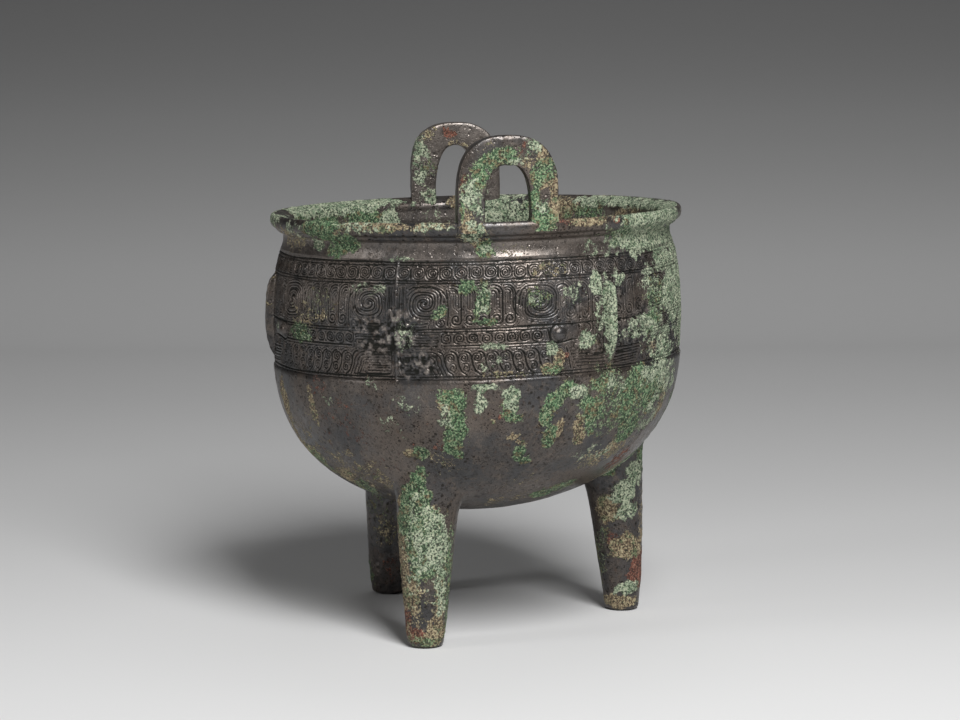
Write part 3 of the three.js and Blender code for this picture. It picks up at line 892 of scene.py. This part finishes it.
# ---- material ----------------------------------------------------------------------------
class Nodes:
    """Short calls that add nodes to one new material and link them."""

    def __init__(self, name):
        self.material = bpy.data.materials.new(name)
        self.material.use_nodes = True
        self.tree = self.material.node_tree
        self.shader = self.tree.nodes["Principled BSDF"].inputs
        self.place = self.new("TexCoord").outputs["Object"]

    def new(self, kind):
        return self.tree.nodes.new("ShaderNode" + kind)

    def set(self, socket, value):
        if isinstance(value, bpy.types.NodeSocket):
            self.tree.links.new(value, socket)
        elif isinstance(value, tuple):
            socket.default_value = (*value, 1)
        else:
            socket.default_value = value

    def math(self, kind, a, b, c=0.0, clamp=False):
        node = self.new("Math")
        node.operation, node.use_clamp = kind, clamp
        for socket, value in zip(node.inputs, (a, b, c)):
            self.set(socket, value)
        return node.outputs[0]

    def times(self, a, b):
        return self.math("MULTIPLY", a, b)

    def noise(self, scale, detail, rough, distort=0.0, shift=0.0):
        node, moved = self.new("TexNoise"), self.new("VectorMath")
        moved.operation = "ADD"
        self.set(moved.inputs[0], self.place)
        moved.inputs[1].default_value = (shift, shift * 0.7, -shift)
        self.set(node.inputs["Vector"], moved.outputs[0])
        settings = {"Scale": scale, "Detail": detail, "Roughness": rough, "Distortion": distort}
        for name, value in settings.items():
            node.inputs[name].default_value = value
        return node.outputs["Fac"]

    def cells(self, scale):
        node = self.new("TexVoronoi")
        self.set(node.inputs["Vector"], self.place)
        node.inputs["Scale"].default_value = scale
        return node.outputs["Distance"]

    def ramp(self, value, low, high, to_low=0.0, to_high=1.0):
        node = self.new("MapRange")
        node.interpolation_type = "SMOOTHSTEP"
        for socket, number in zip(node.inputs, (value, low, high, to_low, to_high)):
            self.set(socket, number)
        return node.outputs[0]

    def mix(self, share, a, b):
        node = self.new("Mix")
        node.data_type = "RGBA"
        self.set(node.inputs["Factor"], share)
        self.set(node.inputs[6], a)
        self.set(node.inputs[7], b)
        return node.outputs[2]

    def attribute(self, name):
        node = self.new("Attribute")
        node.attribute_name = name
        return node.outputs


def patinated_bronze():
    """Dark smooth bronze with green, pale, ochre and red corrosion where the pieces' cover says so."""
    n = Nodes("patinated_bronze")
    cover = n.attribute("cover")
    split = n.new("SeparateColor")
    n.set(split.inputs[0], cover["Color"])
    green, pale, ochre = split.outputs
    red = cover["Alpha"]
    cut = n.attribute("cut")["Fac"]

    broad, mottle = n.noise(38, 4, 0.6), n.noise(230, 5, 0.7, 0.5, 1.0)
    fine, grain = n.noise(760, 3, 0.7, 0.0, 2.0), n.noise(2100, 2, 0.6, 0.0, 3.0)
    other, flecks = n.noise(300, 5, 0.72, 0.4, 7.0), n.noise(1150, 3, 0.7, 0.0, 8.0)

    def breaks(amount, coarse, small):
        """Solid where amount is near 1, and broken into flecks where it is low."""
        specks = n.math("ADD", small, n.times(coarse, 1.3))
        return n.ramp(n.math("ADD", amount, specks), 1.56, 1.72)

    bare = n.mix(n.ramp(broad, 0.38, 0.62), (0.072, 0.071, 0.073), (0.120, 0.098, 0.084))
    bare = n.mix(n.ramp(mottle, 0.48, 0.70, 0, 0.6), bare, (0.185, 0.150, 0.122))
    bare = n.mix(n.ramp(other, 0.56, 0.68, 0, 0.5), bare, (0.105, 0.060, 0.038))
    bare = n.mix(n.ramp(fine, 0.54, 0.66, 0, 0.7), bare, (0.022, 0.019, 0.016))
    many = n.ramp(n.noise(44, 3, 0.6, 0.0, 9.0), 0.36, 0.54)
    holes = n.times(n.ramp(n.cells(360), 0.30, 0.16), many)
    small_holes = n.times(n.ramp(n.cells(800), 0.30, 0.16), n.ramp(broad, 0.38, 0.50))
    holes = n.math("MAXIMUM", holes, small_holes)
    bare = n.mix(n.times(holes, 0.85), bare, (0.016, 0.012, 0.009))
    relief, wear_and_painted_light = n.math("MULTIPLY", cut, 1.0, 0, True), n.math("MULTIPLY", cut, -1.0, 0, True)
    # lighter metal, partly wear and partly painted light: the neck's painted highlight and the band's painted
    # light from above
    bare = n.mix(n.times(wear_and_painted_light, n.ramp(fine, 0.36, 0.56, 0.45, 1)), bare, (0.280, 0.245, 0.220))
    bare = n.mix(n.ramp(cut, -1.02, -1.2), bare, (0.420, 0.400, 0.350))
    bare = n.mix(n.ramp(relief, 0.25, 0.85), bare, (0.012, 0.010, 0.009))

    tone, odd, strange = n.ramp(mottle, 0.38, 0.62), n.ramp(flecks, 0.53, 0.60), n.ramp(other, 0.53, 0.62)

    def blotched(dark, light, odd_share, odd_tint, strange_share, strange_tint):
        """A crust colour that drifts from dark to light, flecked with two other tints."""
        tint = n.mix(tone, dark, light)
        tint = n.mix(n.times(odd, odd_share), tint, odd_tint)
        return n.mix(n.times(strange, strange_share), tint, strange_tint)

    green_tone = blotched((0.032, 0.085, 0.036), (0.115, 0.235, 0.110),
                          0.85, (0.360, 0.410, 0.250), 0.85, (0.190, 0.135, 0.070))
    pale_tone = blotched((0.130, 0.205, 0.120), (0.410, 0.480, 0.340),
                         0.70, (0.620, 0.610, 0.440), 0.55, (0.110, 0.200, 0.100))
    ochre_tone = blotched((0.130, 0.084, 0.048), (0.340, 0.260, 0.160),
                          0.75, (0.500, 0.450, 0.280), 0.75, (0.095, 0.160, 0.075))
    red_tone = n.mix(tone, (0.120, 0.036, 0.024), (0.280, 0.095, 0.060))
    red_tone = n.mix(n.times(odd, 0.5), red_tone, (0.400, 0.260, 0.180))
    colour, crust = bare, 0.0
    layers = ((red, red_tone, other, fine), (ochre, ochre_tone, mottle, flecks),
              (green, green_tone, other, flecks), (pale, pale_tone, mottle, fine))
    for amount, tint, coarse, small in layers:
        here = breaks(amount, coarse, small)
        colour = n.mix(here, colour, tint)
        crust = n.math("MAXIMUM", crust, here)
    colour = n.mix(n.times(n.ramp(relief, 0.2, 0.9), 0.6), colour, (0.014, 0.016, 0.012))
    gaps = n.times(n.ramp(flecks, 0.50, 0.42, 0.0, 0.92), crust)
    colour = n.mix(gaps, colour, (0.020, 0.018, 0.012))
    colour = n.mix(n.ramp(grain, 0.36, 0.60, 0.30, 0.0), colour, (0.012, 0.012, 0.009))
    n.set(n.shader["Base Color"], colour)
    n.set(n.shader["Metallic"], n.ramp(crust, 0.0, 0.8, 0.72, 0.0))
    gloss = n.math("ADD", n.ramp(mottle, 0.3, 0.7, 0.28, 0.44), n.times(relief, 0.25))
    n.set(n.shader["Roughness"], n.math("MAXIMUM", gloss, n.times(crust, 0.86)))
    n.shader["Specular IOR Level"].default_value = 0.5

    grit = n.math("MULTIPLY_ADD", crust, n.math("MULTIPLY_ADD", grain, 0.5, n.times(flecks, 2.2)),
                  n.times(holes, -0.6))
    grit = n.math("MULTIPLY_ADD", fine, 0.22, grit)
    bump = n.new("Bump")
    bump.inputs["Strength"].default_value = 0.8
    bump.inputs["Distance"].default_value = 0.0003
    n.set(bump.inputs["Height"], grit)
    n.set(n.shader["Normal"], bump.outputs[0])
    return n.material


# ---- the room ----------------------------------------------------------------------------
AHEAD = -facing(0)                   # away from the camera


def table_with_painted_shade():
    """Pale paper with painted shade that falls away into grey behind the vessel, standing in for the lamps'
    light growing weaker with distance.
    """
    n = Nodes("table")
    depth = n.new("VectorMath")
    depth.operation = "DOT_PRODUCT"
    n.set(depth.inputs[0], n.place)
    depth.inputs[1].default_value = tuple(AHEAD)
    ramp = n.new("ValToRGB")
    ramp.color_ramp.interpolation = "B_SPLINE"
    stops = ramp.color_ramp.elements
    # painted shade: the paper's greys, mostly darker further behind the vessel
    shades = ((-0.2, 0.76), (0.05, 0.71), (0.35, 0.62), (0.9, 0.70), (1.15, 0.62), (1.35, 0.27), (1.5, 0.14))
    while len(stops) < len(shades):
        stops.new(1.0)
    for stop, (at, shade) in zip(stops, shades):      # from 0.5 m before the vessel to 2 m behind it
        stop.position = (at + 0.5) / 2.5
        stop.color = (shade, shade, shade, 1)
    n.set(ramp.inputs[0], n.math("MULTIPLY_ADD", depth.outputs["Value"], 0.4, 0.2))
    n.set(n.shader["Base Color"], ramp.outputs[0])
    n.shader["Roughness"].default_value = 0.8
    return n.material


def room():
    """A pale table top that curves up into a backdrop behind the vessel."""
    outline = [(-2.2, 0.0)] + [(-2.1 + 0.2 * k, 0.0) for k in range(15)]
    sweep = np.linspace(0.05, math.pi / 2, 24)
    outline += [(0.9 + 0.7 * math.sin(a), 0.7 - 0.7 * math.cos(a)) for a in sweep]
    outline += [(1.6, 3.2)]
    points = []
    for across in (-3.0, 3.0):
        for away, z in outline:
            at = AHEAD * away + RIGHT * across
            points.append((at[0], at[1], z - 0.0003))
    n = len(outline)
    faces = [(i, i + 1, n + i + 1, n + i) for i in range(n - 1)]
    mesh = bpy.data.meshes.new("table")
    mesh.from_pydata(points, [], faces)
    mesh.polygons.foreach_set("use_smooth", [True] * len(faces))
    mesh.materials.append(table_with_painted_shade())
    table = placed("table", mesh)


def aimed(thing, at, target):
    direction = Vector(target) - Vector(at)
    thing.location = at
    thing.rotation_euler = direction.to_track_quat("-Z", "Y").to_euler()


def lamp(name, angle, distance, height, size, power):
    light = bpy.data.lights.new(name, "AREA")
    light.shape = "RECTANGLE"
    light.size, light.size_y = size
    light.energy = power
    made = placed(name, light)
    at = facing(angle) * distance
    aimed(made, (at[0], at[1], height), (0, 0, 0.1))


CAMERA_TARGET, CAMERA_ELEVATION, CAMERA_DISTANCE, CAMERA_ROLL = (0, 0, 0.108), 7.05, 1.1575, 0.42


def camera():
    data = bpy.data.cameras.new("camera")
    data.sensor_width, data.lens, data.shift_x = 36.0, 103.8, 0.00315
    made = placed("camera", data)
    e = math.radians(CAMERA_ELEVATION)
    out = facing(0) * math.cos(e) + np.array([0, 0, math.sin(e)])
    aimed(made, tuple(np.array(CAMERA_TARGET) + out * CAMERA_DISTANCE), CAMERA_TARGET)
    turned = Matrix.Rotation(math.radians(-CAMERA_ROLL), 4, "Z")
    made.matrix_world = made.matrix_basis @ turned
    bpy.context.scene.camera = made


bronze = patinated_bronze()
bowl(bronze)
band(bronze)
for number in range(len(LEG_AT)):
    leg(number, bronze)
for number in range(len(HANDLE_AT)):
    handle(number, bronze)
room()
camera()
lamp("key", 20, 1.12, 1.2, (0.55, 0.95), 31)
lamp("left", -68, 1.1, 0.5, (0.25, 0.7), 2.0)
lamp("top", 165, 0.6, 1.5, (0.8, 0.5), 1.5)
world = bpy.data.worlds.new("world")
bpy.context.scene.world = world
world.use_nodes = True
world.node_tree.nodes["Background"].inputs["Color"].default_value = (1, 1, 1, 1)
world.node_tree.nodes["Background"].inputs["Strength"].default_value = 0.019
bpy.context.scene.view_settings.view_transform = "Standard"
